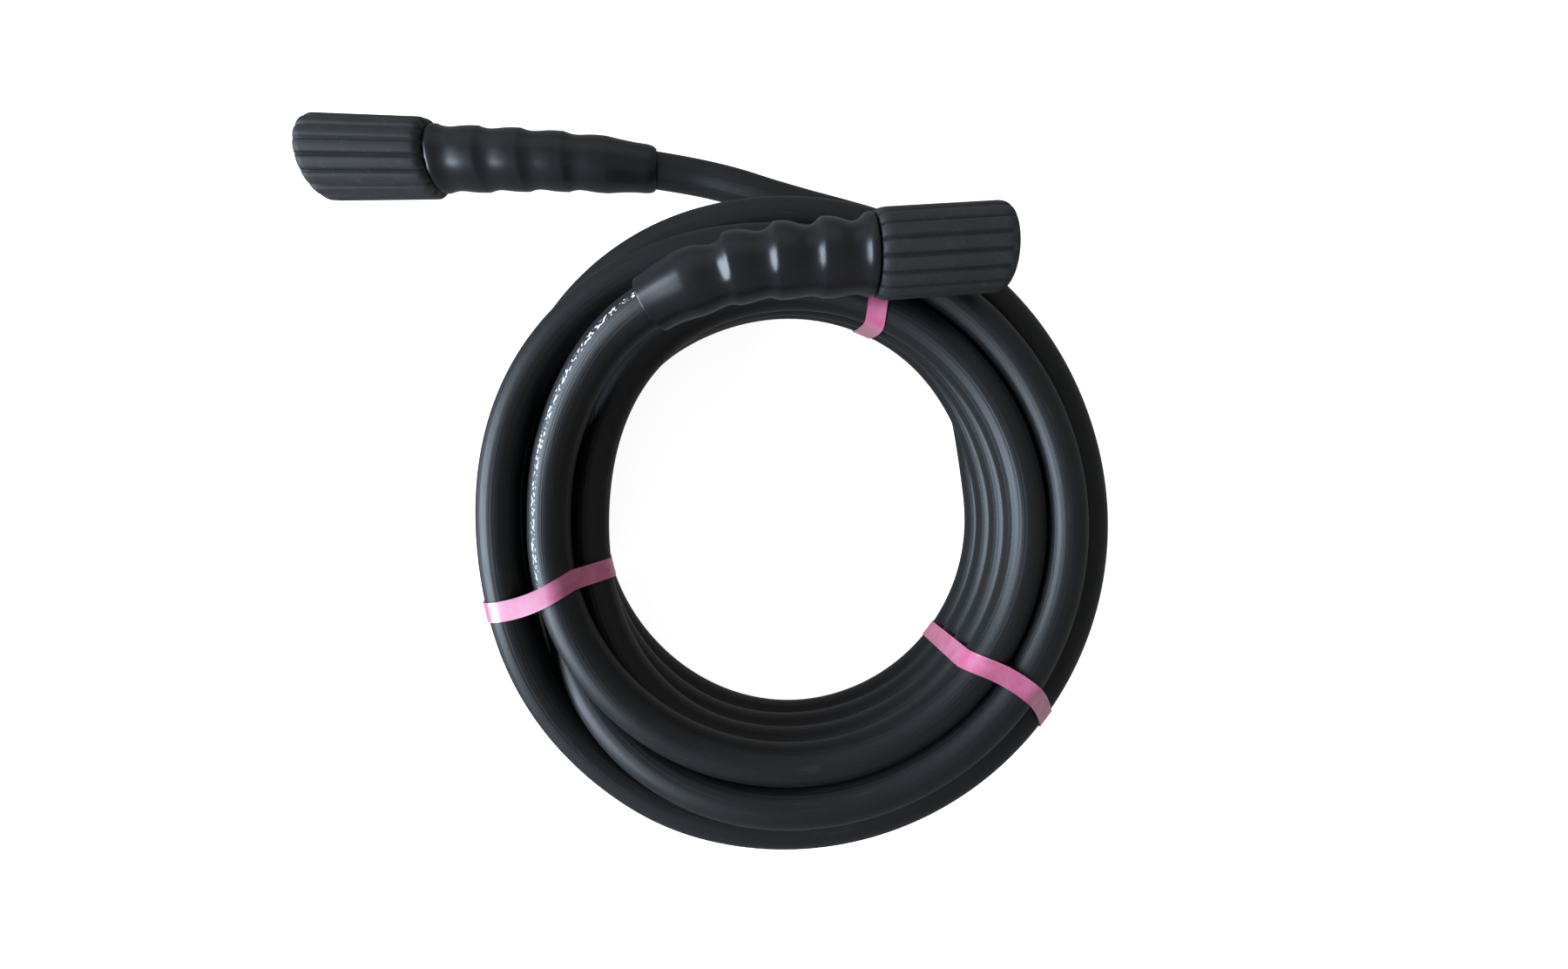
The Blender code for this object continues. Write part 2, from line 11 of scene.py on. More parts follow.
import bmesh
import bpy
import numpy as np
from bpy.props import FloatProperty, FloatVectorProperty, IntProperty, PointerProperty
from mathutils import Euler, Matrix, Vector
from mathutils.geometry import convex_hull_2d


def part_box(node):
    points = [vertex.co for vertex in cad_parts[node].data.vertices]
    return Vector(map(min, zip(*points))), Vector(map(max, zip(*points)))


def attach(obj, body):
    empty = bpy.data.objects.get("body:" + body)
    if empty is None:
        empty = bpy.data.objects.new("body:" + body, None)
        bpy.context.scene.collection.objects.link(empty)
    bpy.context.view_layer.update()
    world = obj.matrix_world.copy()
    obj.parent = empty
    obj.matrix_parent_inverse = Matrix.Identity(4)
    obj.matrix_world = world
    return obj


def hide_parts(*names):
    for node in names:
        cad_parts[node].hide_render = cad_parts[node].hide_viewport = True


bl_info = {
    "name": "High pressure washer hose",
    "version": (1, 0, 0),
    "blender": (4, 5, 0),
    "location": "3D View > Sidebar > Washer Hose",
    "description": "Builds the looks of a coiled high pressure washer hose with two screw couplings",
    "category": "Object",
}

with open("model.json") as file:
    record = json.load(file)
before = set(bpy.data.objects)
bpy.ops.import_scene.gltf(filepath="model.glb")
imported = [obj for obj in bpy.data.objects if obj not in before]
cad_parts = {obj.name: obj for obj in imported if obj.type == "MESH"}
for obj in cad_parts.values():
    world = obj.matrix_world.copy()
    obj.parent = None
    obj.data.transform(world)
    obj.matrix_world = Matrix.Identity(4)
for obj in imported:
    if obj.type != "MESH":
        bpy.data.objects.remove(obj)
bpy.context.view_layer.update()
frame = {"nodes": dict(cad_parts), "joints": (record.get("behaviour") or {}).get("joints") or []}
UP = Vector((0, 0, 1))
ENDS = ("a", "b")
# Where coupling A's nut starts, seen from the coil's axis
COUPLING_A_FROM_COIL = Vector((-0.156, 0.1615, 0))

# The turns in the order in which the hose runs through them: column outwards, level upwards
TURN_PLACES = ((2, 0), (2, 1), (2, 2), (1, 3), (1, 2), (1, 1), (1, 0), (0, 0), (0, 1), (0, 2), (0, 3))
# Where each turn passes to the next, in degrees of winding from the turn's own start
TURN_CHANGES = (
    (295, 390), (295, 360), (250, 330), (220, 290), (220, 290),
    (220, 290), (55, 125), (0, 60), (0, 60), (0, 60),
)
# The azimuth where the turns start and are wound clockwise from, and where the last one ends
WINDING_START = 130
LAST_TURN_END = -182
# The turn that rises first and then moves inwards, over the top of its neighbour
TURN_OVER_ANOTHER = 2
# Degrees between the route's points in the coil
WINDING_STEP = 7.5

# Where the turns lean out of line: level, first and last column, azimuth and half width
# in degrees, and how far outwards
LEANS = (
    (0, 0, 1, 120, 60, 0.0085),
    (0, 0, 1, 66, 54, 0.0085),
    (0, 0, 2, 222, 60, -0.0020),
    (1, 0, 2, 120, 60, 0.0050),
    (1, 0, 2, 66, 54, 0.0050),
    (1, 0, 2, 195, 65, -0.0042),
    (2, 0, 2, 120, 60, 0.0020),
    (2, 0, 2, 66, 54, 0.0020),
    (2, 0, 2, 180, 75, -0.0105),
    (3, 1, 2, 142, 62, 0.0065),
)

# The free end's route beside the coil: azimuth, and the hose's clearance from the coil's side
TAIL_A_ROUTE = (
    (104.7, 0.0245), (98.7, 0.0168), (92.8, 0.0102), (86.3, 0.0056),
    (79.3, 0.0033), (72.1, 0.0026), (64.0, 0.0016),
)
TAIL_FLOOR_GAP = 0.0002
FLOOR_DROP = 0.0002
# Where the free end slips under the outer turns: azimuth, and its share of the way in
TAIL_A_ENTRY = ((54, 0.13), (44, 0.32), (34, 0.54), (24, 0.75), (14, 0.91))
FIRST_COIL_AZIMUTH = 4
# Between the route's points where the last turn rises to coupling B, and how many points
# lie inside a coupling
RISE_SPACING = 0.012
POINTS_IN_COUPLING = 8

# The couplings' common sizes, the first one their running clearance
CLEARANCE = 0.0003
FERRULE_LENGTH = 0.030
FERRULE_END = 3 * CLEARANCE + FERRULE_LENGTH
FERRULE_LIP = 0.0022
STEM_DISC = 0.003
HOSE_START = CLEARANCE * 5 + FERRULE_LIP + STEM_DISC
# How far each bend restrictor bends sideways and down, in degrees, and where its finger
# hollows face, in degrees from +Y towards up
BENDS = {"a": (0, 12), "b": (-22, 20)}
FINGER_SIDES = {"a": -120, "b": 35}

# The azimuth of each strap
STRAPS = {"strap_left": -166.0, "strap_right": -37.3, "strap_top": 67.0}

# Nearer than this, two points are at the same place along an axis or at the same radius
TOUCHING = 1e-6
SAME_RADIUS = 1e-5

# Faces round the turned pieces
STEPS_PER_RIB = 16
INSERT_STEPS = 60
STEM_STEPS = 48
SLEEVE_STEPS = 72

STEEL_COLOUR = (0.62, 0.6, 0.52)
SEAL_COLOUR = (0.012, 0.012, 0.012)

# Where a Mix node keeps its factor, its two colours and the colour that it gives
MIX_FACTOR, MIX_FIRST, MIX_SECOND, MIX_RESULT = 0, 6, 7, 2


def metres(name, description, default):
    """A setting that is a length."""
    return FloatProperty(name=name, description=description, default=default, unit="LENGTH")


def tint(name, description, default):
    """A setting that is a colour."""
    return FloatVectorProperty(name=name, description=description, default=default, subtype="COLOR")


def number(name, description, default):
    """A setting that is a plain number."""
    return FloatProperty(name=name, description=description, default=default)


class HoseSettings(bpy.types.PropertyGroup):
    """Sizes and colours of the hose and of its coil."""

    diameter: metres("Hose diameter", "Outside diameter of the rubber cover", 0.016)
    gap: metres("Gap between turns", "Room between neighbouring turns", 0.0003)
    inner_radius: metres("Coil inner radius", "Radius of the coil's open middle", 0.0838)
    base: metres("Coil base", "Height of the lowest turns above the floor", 0.0012)
    length: metres("Hose length", "Real length of the hose between its ferrules", 6.9)
    sides: IntProperty(name="Sides", description="Faces round the hose", default=28)
    ring_spacing: metres("Ring spacing", "Length of one ring of faces", 0.0037)
    colour: tint("Rubber colour", "Colour of the hose's cover", (0.0068, 0.0075, 0.0082))
    print_colour: tint("Print colour", "Colour of the broken line of print", (0.74, 0.76, 0.79))
    print_angle: number("Print angle", "Where the print leaves coupling B, in degrees up from outwards", 63)
    print_length: metres("Print length", "Length of each stretch of print", 0.195)
    print_repeat: metres("Print repeat", "Length from one stretch of print to the next", 0.85)
    print_twist: number("Print twist", "How far down the print turns beyond coupling B, in degrees", 80)


class NutSettings(bpy.types.PropertyGroup):
    """Sizes and colour of the two hand nuts."""

    length_a: metres("Length, A", "From back face to mouth", 0.053)
    mouth_a: metres("Mouth diameter, A", "Over the ribs", 0.0352)
    back_a: metres("Back diameter, A", "Over the ribs", 0.0332)
    length_b: metres("Length, B", "From back face to mouth", 0.0464)
    mouth_b: metres("Mouth diameter, B", "Over the ribs", 0.0310)
    back_b: metres("Back diameter, B", "Over the ribs", 0.0310)
    back_face: metres("Back face diameter", "Of the flat back face", 0.0274)
    taper: metres("Back taper", "Length of the tapered back", 0.004)
    rounding: metres("Mouth rounding", "Length of the shoulder", 0.0046)
    mouth_face: metres("Mouth face diameter", "Inside the shoulder", 0.0268)
    entry: metres("Entry diameter", "Of the open mouth", 0.0236)
    floor: metres("Floor", "Thickness of the back wall", 0.014)
    ribs: IntProperty(name="Ribs", description="Broad ribs round the nut", default=16)
    groove: metres("Groove depth", "Of the grooves between ribs", 0.0014)
    colour: tint("Nut colour", "Colour of the moulded plastic", (0.0275, 0.0275, 0.0277))


class FittingSettings(bpy.types.PropertyGroup):
    """Sizes and colour of the threaded inserts, stems and O rings."""

    insert: metres("Insert diameter", "Outside the brass insert", 0.026)
    insert_length: metres("Insert length", "Of the insert", 0.0284)
    insert_wall: metres("Insert back wall", "Behind the collar", 0.004)
    thread: metres("Thread bore", "Over the thread's crests", 0.0205)
    pitch: metres("Thread pitch", "Length of one turn of thread", 0.0015)
    thread_depth: metres("Thread depth", "Depth of the thread", 0.0008)
    neck: metres("Neck diameter", "Of the stem in the nut's floor", 0.0158)
    collar: metres("Collar diameter", "Of the stem's collar", 0.0192)
    collar_width: metres("Collar width", "Of the stem's collar", 0.003)
    probe: metres("Probe diameter", "Of the stem's probe", 0.014)
    probe_length: metres("Probe length", "Of the stem's probe", 0.019)
    bore: metres("Bore", "The water's way through the stem", 0.006)
    seat: metres("Seat diameter", "Of the O ring's groove", 0.0106)
    seat_width: metres("Seat width", "Of the O ring's groove", 0.0026)
    seat_from_tip: metres("Seat from tip", "Back from the tip", 0.008)
    ring: metres("O ring thickness", "Section of the O ring", 0.0018)
    ferrule_lip: metres("Ferrule mouth", "Of the ferrule's lip", 0.0116)
    colour: tint("Brass colour", "Colour of the turned brass", (0.72, 0.50, 0.22))


class SleeveSettings(bpy.types.PropertyGroup):
    """Sizes and colour of the two bend restrictors."""

    length_a: metres("Length, A", "From the nut's back face", 0.092)
    last_a: metres("Last crest, A", "From the nut's back face", 0.075)
    length_b: metres("Length, B", "From the nut's back face", 0.0815)
    last_b: metres("Last crest, B", "From the nut's back face", 0.0655)
    bumps: IntProperty(name="Crests", description="Rings between the finger hollows", default=5)
    first: metres("First crest", "Behind the nut's back face", 0.003)
    first_diameter: metres("First diameter", "Over the first crest", 0.028)
    last_diameter: metres("Last diameter", "Over the last crest", 0.0236)
    tail_diameter: metres("Tail diameter", "At the sleeve's end", 0.0206)
    valley: metres("Hollow depth", "All round", 0.0010)
    finger: metres("Finger depth", "On the finger side", 0.0026)
    skew: number("Hollow skew", "How far each hollow's deepest part lies towards the nut", 0.28)
    tail_a: metres("Tail, A", "Rounded end past the length", 0.0045)
    tail_b: metres("Tail, B", "Rounded end past the length", 0.0)
    colour: tint("Sleeve colour", "Colour of the soft plastic", (0.0085, 0.0092, 0.0105))


class StrapSettings(bpy.types.PropertyGroup):
    """Sizes and colour of the straps."""

    width: metres("Width", "Width of the plastic film", 0.0076)
    thickness: metres("Thickness", "Thickness of the film", 0.0004)
    bow: metres("Bow", "Sideways, at the strap's middle", 0.005)
    lap: metres("Lap", "Length of the welded lap", 0.022)
    colour: tint("Strap colour", "Colour of the film", (0.53, 0.10, 0.21))


class StageSettings(bpy.types.PropertyGroup):
    """Camera, light and floor."""

    camera_offset: FloatVectorProperty(
        name="Camera offset",
        description="Camera's place from the coil's axis, and its height above the floor",
        default=(-0.00752, 0.01276, 0.30008),
        subtype="XYZ",
    )
    camera_turn: FloatVectorProperty(
        name="Camera turn",
        description="How the camera is turned from looking straight down",
        default=(0.011967, -0.023187, 0.0),
        subtype="EULER",
    )
    lens: number("Lens", "Focal length in millimetres on a 36 mm sensor", 14.4)
    floor_colour: tint("Floor colour", "Colour of the plain floor", (0.9, 0.9, 0.9))
    floor_glow: number("Floor glow", "Light that the floor itself gives", 0.9)
    window_power: FloatProperty(
        name="Window light", description="Power of the large light on the left", default=165.0, unit="POWER"
    )
    top_power: FloatProperty(
        name="Top light", description="Power of the light behind the couplings", default=2.2, unit="POWER"
    )
    ambient: number("Ambient", "Strength of the even light from all round", 0.24)


class Socket:
    """A shader socket, or a number, whose arithmetic adds Math nodes."""

    def __init__(self, finish, value):
        self.finish = finish
        self.value = value

    def maths(self, operation, *others):
        """A Math node on this value and others."""
        parts = dict(enumerate((self, *others)))
        return self.finish.node("ShaderNodeMath", {"operation": operation}, parts)

    def __add__(self, other):
        return self.maths("ADD", other)

    __radd__ = __add__

    def __rsub__(self, other):
        return Socket(self.finish, other).maths("SUBTRACT", self)

    def __mul__(self, other):
        return self.maths("MULTIPLY", other)

    __rmul__ = __mul__

    def above(self, edge, softness):
        """0 below an edge and 1 above it, with a soft step."""
        return self.finish.node(
            "ShaderNodeMapRange",
            {"interpolation_type": "SMOOTHSTEP"},
            {"Value": self, "From Min": edge - softness, "From Max": edge + softness},
        )


class Finish:
    """One material: its node tree, with one method that adds any node."""

    def __init__(self, name, **uniform):
        self.material = bpy.data.materials.new(name)
        self.material.use_nodes = True
        self.tree = self.material.node_tree
        self.shader = self.tree.nodes["Principled BSDF"]
        self.wear(**uniform)

    def node(self, kind, settings=None, inputs=None, output=0):
        """Adds a node with its settings and the values or links of its sockets."""
        made = self.tree.nodes.new(kind)
        for name, value in (settings or {}).items():
            setattr(made, name, value)
        for name, value in (inputs or {}).items():
            self.feed(made.inputs[name], value)
        return Socket(self, made.outputs[output])

    def feed(self, socket, value):
        """Gives a socket a value, or a link from another."""
        if isinstance(value, Socket):
            value = value.value
        if isinstance(value, bpy.types.NodeSocket):
            self.tree.links.new(value, socket)
        else:
            socket.default_value = value

    def attribute(self, name):
        """A number stored on the mesh's points."""
        return self.node("ShaderNodeAttribute", {"attribute_name": name}, output="Fac")

    def place(self):
        """The point on the piece, in metres."""
        return self.node("ShaderNodeTexCoord", output="Object")

    def vector(self, *parts):
        """A vector of three numbers."""
        return self.node("ShaderNodeCombineXYZ", inputs=dict(enumerate(parts)))

    def noise(self, scale, detail=2.0, roughness=0.5, where=None):
        """Noise from 0 to 1, its scale in waves for each metre."""
        inputs = {"Vector": where or self.place(), "Scale": scale, "Detail": detail, "Roughness": roughness}
        return self.node("ShaderNodeTexNoise", inputs=inputs)

    def mix(self, share, first, second):
        """A colour between two others."""
        colours = [(*colour, 1) if isinstance(colour, tuple) else colour for colour in (first, second)]
        inputs = {MIX_FACTOR: share, MIX_FIRST: colours[0], MIX_SECOND: colours[1]}
        return self.node("ShaderNodeMix", {"data_type": "RGBA"}, inputs, output=MIX_RESULT)

    def bump(self, height, distance, normal=None):
        """Relief from a height between 0 and 1, its full height in metres."""
        inputs = {"Height": height, "Distance": distance}
        if normal:
            inputs["Normal"] = normal
        return self.node("ShaderNodeBump", inputs=inputs)

    def wear(self, **varying):
        """Feeds the shader's sockets and gives the material."""
        for socket, value in varying.items():
            self.feed(self.shader.inputs[socket.replace("_", " ")], value)
        return self.material


def lighter(colour, share):
    """A colour made lighter or darker."""
    return tuple(min(part * share, 1.0) for part in colour)


def lean_share(azimuth, middle, half_width):
    """1 at a lean's middle azimuth, easing to 0 at a half width from it, in degrees."""
    away = abs((azimuth - middle + 180) % 360 - 180)
    return cos(pi / 2 * away / half_width) ** 2 if away < half_width else 0.0


def station(column, level, azimuth):
    """Where one turn of the coil runs at an azimuth: its radius and height."""
    hose = bpy.context.scene.hose_settings
    pitch = hose.diameter + hose.gap
    radius = hose.inner_radius + hose.diameter / 2 + column * pitch
    height = hose.base + hose.diameter / 2 + level * pitch
    for leaning, first, last, middle, half_width, outwards in LEANS:
        if level == leaning and first <= column <= last:
            radius += outwards * lean_share(azimuth, middle, half_width)
    return radius, height


def eased(share):
    """A share from 0 to 1 with a soft start and end."""
    return (1 - cos(pi * min(max(share, 0.0), 1.0))) / 2


def coupling_place(end):
    """Where a coupling lies, from its nut's joint."""
    joint = next(joint for joint in frame["joints"] if joint["name"] == f"nut_{end}_turn")
    way = Vector(joint["axis"]).normalized()
    side = UP.cross(way).normalized()
    turn = Matrix((way, side, way.cross(side))).transposed()
    return Matrix.Translation(joint["pos_m"]) @ turn.to_4x4()


COIL_AXIS = coupling_place("a").translation - COUPLING_A_FROM_COIL


def at_azimuth(radius, height, azimuth):
    """A point round the coil's axis."""
    turn = radians(azimuth)
    return Vector((COIL_AXIS.x + radius * cos(turn), COIL_AXIS.y + radius * sin(turn), height))


def on_winding(wound):
    """Radius and height of the hose after so many degrees of winding."""
    turn = min(int(wound // 360), len(TURN_CHANGES) - 1)
    if turn and wound < 360 * (turn - 1) + TURN_CHANGES[turn - 1][1]:
        turn -= 1
    begin, end = TURN_CHANGES[turn]
    azimuth = WINDING_START - wound
    share = eased((wound - 360 * turn - begin) / (end - begin))
    radius, height = station(*TURN_PLACES[turn], azimuth)
    next_radius, next_height = station(*TURN_PLACES[turn + 1], azimuth)
    rise = next_height - height
    if turn == TURN_OVER_ANOTHER:
        lean = share * pi / 2
        return next_radius + (radius - next_radius) * cos(lean), height + rise * sin(lean)
    return radius + (next_radius - radius) * share, height + rise * share


def sleeve_length(end):
    """The length of one end's bend restrictor."""
    return getattr(bpy.context.scene.sleeve_settings, f"length_{end}")


def bending(end):
    """A function that bends what lies behind the ferrule to one side and down, in an even curve."""
    plan_bend, droop = BENDS[end]
    length = sleeve_length(end)
    radius = (length - FERRULE_END) / radians(hypot(plan_bend, droop))
    side = Vector((0, plan_bend, -droop)).normalized()
    back = Vector((-1, 0, 0))
    across = side.cross(back)

    def bend(point):
        if -point.x <= FERRULE_END:
            return point
        angle = (-point.x - FERRULE_END) / radius
        middle = back * (FERRULE_END + radius * sin(angle)) + side * radius * (1 - cos(angle))
        outward = side * cos(angle) - back * sin(angle)
        offset = Vector((0, point.y, point.z))
        return middle + outward * offset.dot(side) + across * offset.dot(across)

    return bend


def hose_in_coupling(end):
    """The hose's middle inside a coupling, from the stem's disc to the sleeve's tail."""
    place, bend = coupling_place(end), bending(end)
    backs = np.linspace(HOSE_START, sleeve_length(end), POINTS_IN_COUPLING)
    return [place @ bend(Vector((-back, 0, 0))) for back in backs]


def walked_along(line):
    """How far along a line each of its points lies."""
    return np.concatenate([[0], np.cumsum(np.linalg.norm(np.diff(line, axis=0), axis=1))])


def points_at(line, walked, distances):
    """The points at some distances along a line."""
    return np.stack([np.interp(distances, walked, part) for part in line.T], axis=1)


def smooth_line(points, spacing, start_way, end_way):
    """Points at an even spacing on one smooth curve through others, with its direction at each end."""
    before = points[1] - 2 * start_way * (points[1] - points[0]).length
    after = points[-2] + 2 * end_way * (points[-1] - points[-2]).length
    knots = np.array([before, *points, after])
    steps_between_knots = 12
    shares = np.linspace(0, 1, steps_between_knots, endpoint=False)[:, None]
    fine = []
    for p0, p1, p2, p3 in zip(knots, knots[1:], knots[2:], knots[3:]):
        fine.append(
            p1
            + (p2 - p0) / 2 * shares
            + (p0 - 2.5 * p1 + 2 * p2 - 0.5 * p3) * shares**2
            + (1.5 * p1 - 0.5 * p0 - 1.5 * p2 + 0.5 * p3) * shares**3
        )
    fine = np.vstack([*fine, knots[-2:-1]])
    walked = walked_along(fine)
    return points_at(fine, walked, np.linspace(0, walked[-1], round(walked[-1] / spacing) + 1))


def direction(first, second):
    """The direction from one point to another."""
    return (second - first).normalized()


def wound_range():
    """Where the winding starts and ends, in degrees."""
    last = 360 * (len(TURN_CHANGES) - 1) + WINDING_START - LAST_TURN_END
    return WINDING_START - FIRST_COIL_AZIMUTH, last


def hose_line():
    """The hose's middle from coupling A, through all the turns, to coupling B."""
    hose = bpy.context.scene.hose_settings
    radius = hose.diameter / 2
    outer_turn = hose.inner_radius + radius + 2 * (hose.diameter + hose.gap)
    floor = radius + TAIL_FLOOR_GAP
    start = hose_in_coupling("a")
    outside = outer_turn + 2 * radius
    beside = [at_azimuth(outside + clearance, floor, azimuth) for azimuth, clearance in TAIL_A_ROUTE]
    last = outside + TAIL_A_ROUTE[-1][1]
    under = [
        at_azimuth(last + (outer_turn - last) * share, floor + (hose.base - TAIL_FLOOR_GAP) * share, azimuth)
        for azimuth, share in TAIL_A_ENTRY
    ]
    first_wound, last_wound = wound_range()
    steps = round((last_wound - first_wound) / WINDING_STEP)
    windings = np.linspace(first_wound, last_wound, steps + 1)
    coil = [at_azimuth(*on_winding(wound), WINDING_START - wound) for wound in windings]
    finish = hose_in_coupling("b")[::-1]
    ends = [coil[-1], finish[0]]
    rise = smooth_line(ends, RISE_SPACING, direction(*coil[-2:]), direction(*finish[:2]))
    knots = [*start, *beside, *under, *coil, *map(Vector, rise[1:-1]), *finish]
    return smooth_line(knots, hose.ring_spacing, direction(*start[:2]), direction(*finish[-2:]))


def placed(name, data):
    """A new object in the scene that holds a mesh, a curve, a light or a camera."""
    holder = bpy.data.objects.new(name, data)
    bpy.context.scene.collection.objects.link(holder)
    return holder


def points_of(mesh):
    """A mesh's points, one row each."""
    points = np.zeros(len(mesh.vertices) * 3)
    mesh.vertices.foreach_get("co", points)
    return points.reshape(-1, 3)


def store(mesh, **numbers):
    """Stores named numbers on a mesh's points, for its material."""
    for name, values in numbers.items():
        layer = mesh.attributes.new(name, "FLOAT", "POINT")
        layer.data.foreach_set("value", values.astype(np.float32))


def swept(name, line, profile=None, radius=0.0, sides=0):
    """A line swept by a circle or, in its plane, by a profile: closed ends, rings in order."""
    curve = bpy.data.curves.new(name, "CURVE")
    curve.dimensions = "2D" if profile else "3D"
    curve.fill_mode = "NONE" if profile else "FULL"
    if profile:
        curve.bevel_mode = "OBJECT"
        curve.bevel_object = profile
    else:
        curve.bevel_depth = radius
        curve.bevel_resolution = (sides - 4) // 2
    spline = curve.splines.new("POLY")
    spline.points.add(len(line) - 1)
    spline.points.foreach_set("co", np.hstack([line, np.ones((len(line), 1))]).ravel())
    holder = placed(name, curve)
    bpy.context.view_layer.update()
    finished = holder.evaluated_get(bpy.context.evaluated_depsgraph_get())
    mesh = bpy.data.meshes.new_from_object(finished)
    bpy.data.objects.remove(holder)
    bpy.data.curves.remove(curve)
    mesh.name = name
    mesh.materials.clear()
    bm = bmesh.new()
    bm.from_mesh(mesh)
    bmesh.ops.holes_fill(bm, edges=bm.edges, sides=0)
    bmesh.ops.recalc_face_normals(bm, faces=bm.faces)
    bm.to_mesh(mesh)
    bm.free()
    return mesh


def turned(name, outline, steps, place, reshape=None):
    """A closed outline of (along, radius) turned about the X axis, reshaped and put in place."""
    bm = bmesh.new()
    verts = [bm.verts.new((along, 0, radius)) for along, radius in outline]
    edges = [bm.edges.new(pair) for pair in zip(verts, verts[1:] + verts[:1])]
    bmesh.ops.spin(
        bm, geom=verts + edges, cent=(0, 0, 0), axis=(1, 0, 0), angle=tau, steps=steps, use_merge=True
    )
    if reshape:
        for vert in bm.verts:
            vert.co = reshape(vert.co.copy())
    bmesh.ops.transform(bm, matrix=place, verts=bm.verts)
    bmesh.ops.recalc_face_normals(bm, faces=bm.faces)
    mesh = bpy.data.meshes.new(name)
    bm.to_mesh(mesh)
    bm.free()
    return mesh


def add_piece(name, mesh, material, body, node=None, sharp=32):
    """Puts a finished mesh in the scene as a piece that rides on a body and stands for a CAD node."""
    mesh.shade_smooth()
    mesh.set_sharp_from_angle(angle=radians(sharp))
    mesh.materials.append(material)
    piece = placed(name, mesh)
    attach(piece, body)
    if node:
        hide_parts(node)
    return piece


def between(first, last, count):
    """Outline points between two others, without the last."""
    return [
        (first[0] + (last[0] - first[0]) * i / count, first[1] + (last[1] - first[1]) * i / count)
        for i in range(count)
    ]


def arc(centre_along, centre_radius, along, radius, first, last, count):
    """Outline points on part of an ellipse, between two angles in degrees from the axis."""
    angles = [radians(first + (last - first) * i / count) for i in range(count + 1)]
    return [(centre_along + along * cos(a), centre_radius + radius * sin(a)) for a in angles]


def nut_outline(nut, fitting, length, mouth, back):
    """A hand nut's outline, from its back face round the outside and back down its bore."""
    bore = fitting.insert / 2 + CLEARANCE
    hole = fitting.neck / 2 + 2 * CLEARANCE
    entry_at = nut.floor + fitting.insert_length + 2 * CLEARANCE
    chamfer = 0.0006
    drop = (mouth - nut.mouth_face) / 2
    back_rise = (back - nut.back_face) / 2
    return [
        (0, hole),
        *arc(nut.taper, nut.back_face / 2, -nut.taper, back_rise, 0, 90, count=6),
        *between((nut.taper, back / 2), (length - nut.rounding, mouth / 2), count=12)[1:],
        *arc(length - nut.rounding, nut.mouth_face / 2, nut.rounding, drop, 90, 0, count=10),
        (length, nut.entry / 2 + chamfer),
        (length - chamfer, nut.entry / 2),
        (entry_at, nut.entry / 2),
        (entry_at, bore),
        (nut.floor, bore),
        (nut.floor, hole),
    ]


def ribbed(nut, fitting, length):
    """A function that cuts grooves between the broad ribs of a nut's outside."""
    skin = fitting.insert / 2 + 2 * CLEARANCE
    # A groove's half width in ribs, and how closely the rows of points crowd into it
    half_groove = 0.115
    crowding = 0.55
    # How much lower a rib's edges are than its middle, and where the grooves fade at the mouth
    crown = 0.00022
    fade_length = 0.0026

    def cut(point):
        radius = hypot(point.y, point.z)
        if radius < skin or length - point.x < TOUCHING:
            return point
        share = atan2(point.y, point.z) / tau * nut.ribs
        rib = round(share)
        across = share - rib
        across -= crowding / tau * sin(tau * across)
        depth = nut.groove * exp(-((across / half_groove) ** 2))
        depth += crown * (1 - cos(tau * (across - 0.5))) / 2
        fade = min(1.0, (length - point.x) / fade_length)
        radius -= min(depth * fade, radius - skin)
        turn = (rib + across) / nut.ribs * tau
        return Vector((point.x, radius * sin(turn), radius * cos(turn)))

    return cut


def insert_outline(nut, fitting):
    """The brass insert's outline, with a row of points for each step of its thread."""
    start = nut.floor + CLEARANCE
    end = start + fitting.insert_length
    hole = fitting.neck / 2 + CLEARANCE
    wall = start + fitting.insert_wall
    crest = fitting.thread / 2
    root = crest + fitting.thread_depth
    rows_per_turn = 6
    lead_in = 0.0008
    relief = 0.0014
    relief_edge = 0.0016
    rows = round((end - wall) / fitting.pitch * rows_per_turn)
    return [
        (start, hole),
        (start, fitting.insert / 2),
        (end, fitting.insert / 2),
        (end, root),
        *between((end - lead_in, crest), (wall + relief_edge, crest), rows),
        (wall + relief, root),
        (wall, root),
        (wall, hole),
    ]


def threaded(fitting):
    """A function that sinks a thread into the insert's bore."""
    crest = fitting.thread / 2

    def cut(point):
        radius = hypot(point.y, point.z)
        if abs(radius - crest) > SAME_RADIUS:
            return point
        wave = (point.x / fitting.pitch - atan2(point.y, point.z) / tau) % 1
        scale = (radius + fitting.thread_depth * abs(2 * wave - 1)) / radius
        return Vector((point.x, point.y * scale, point.z * scale))

    return cut


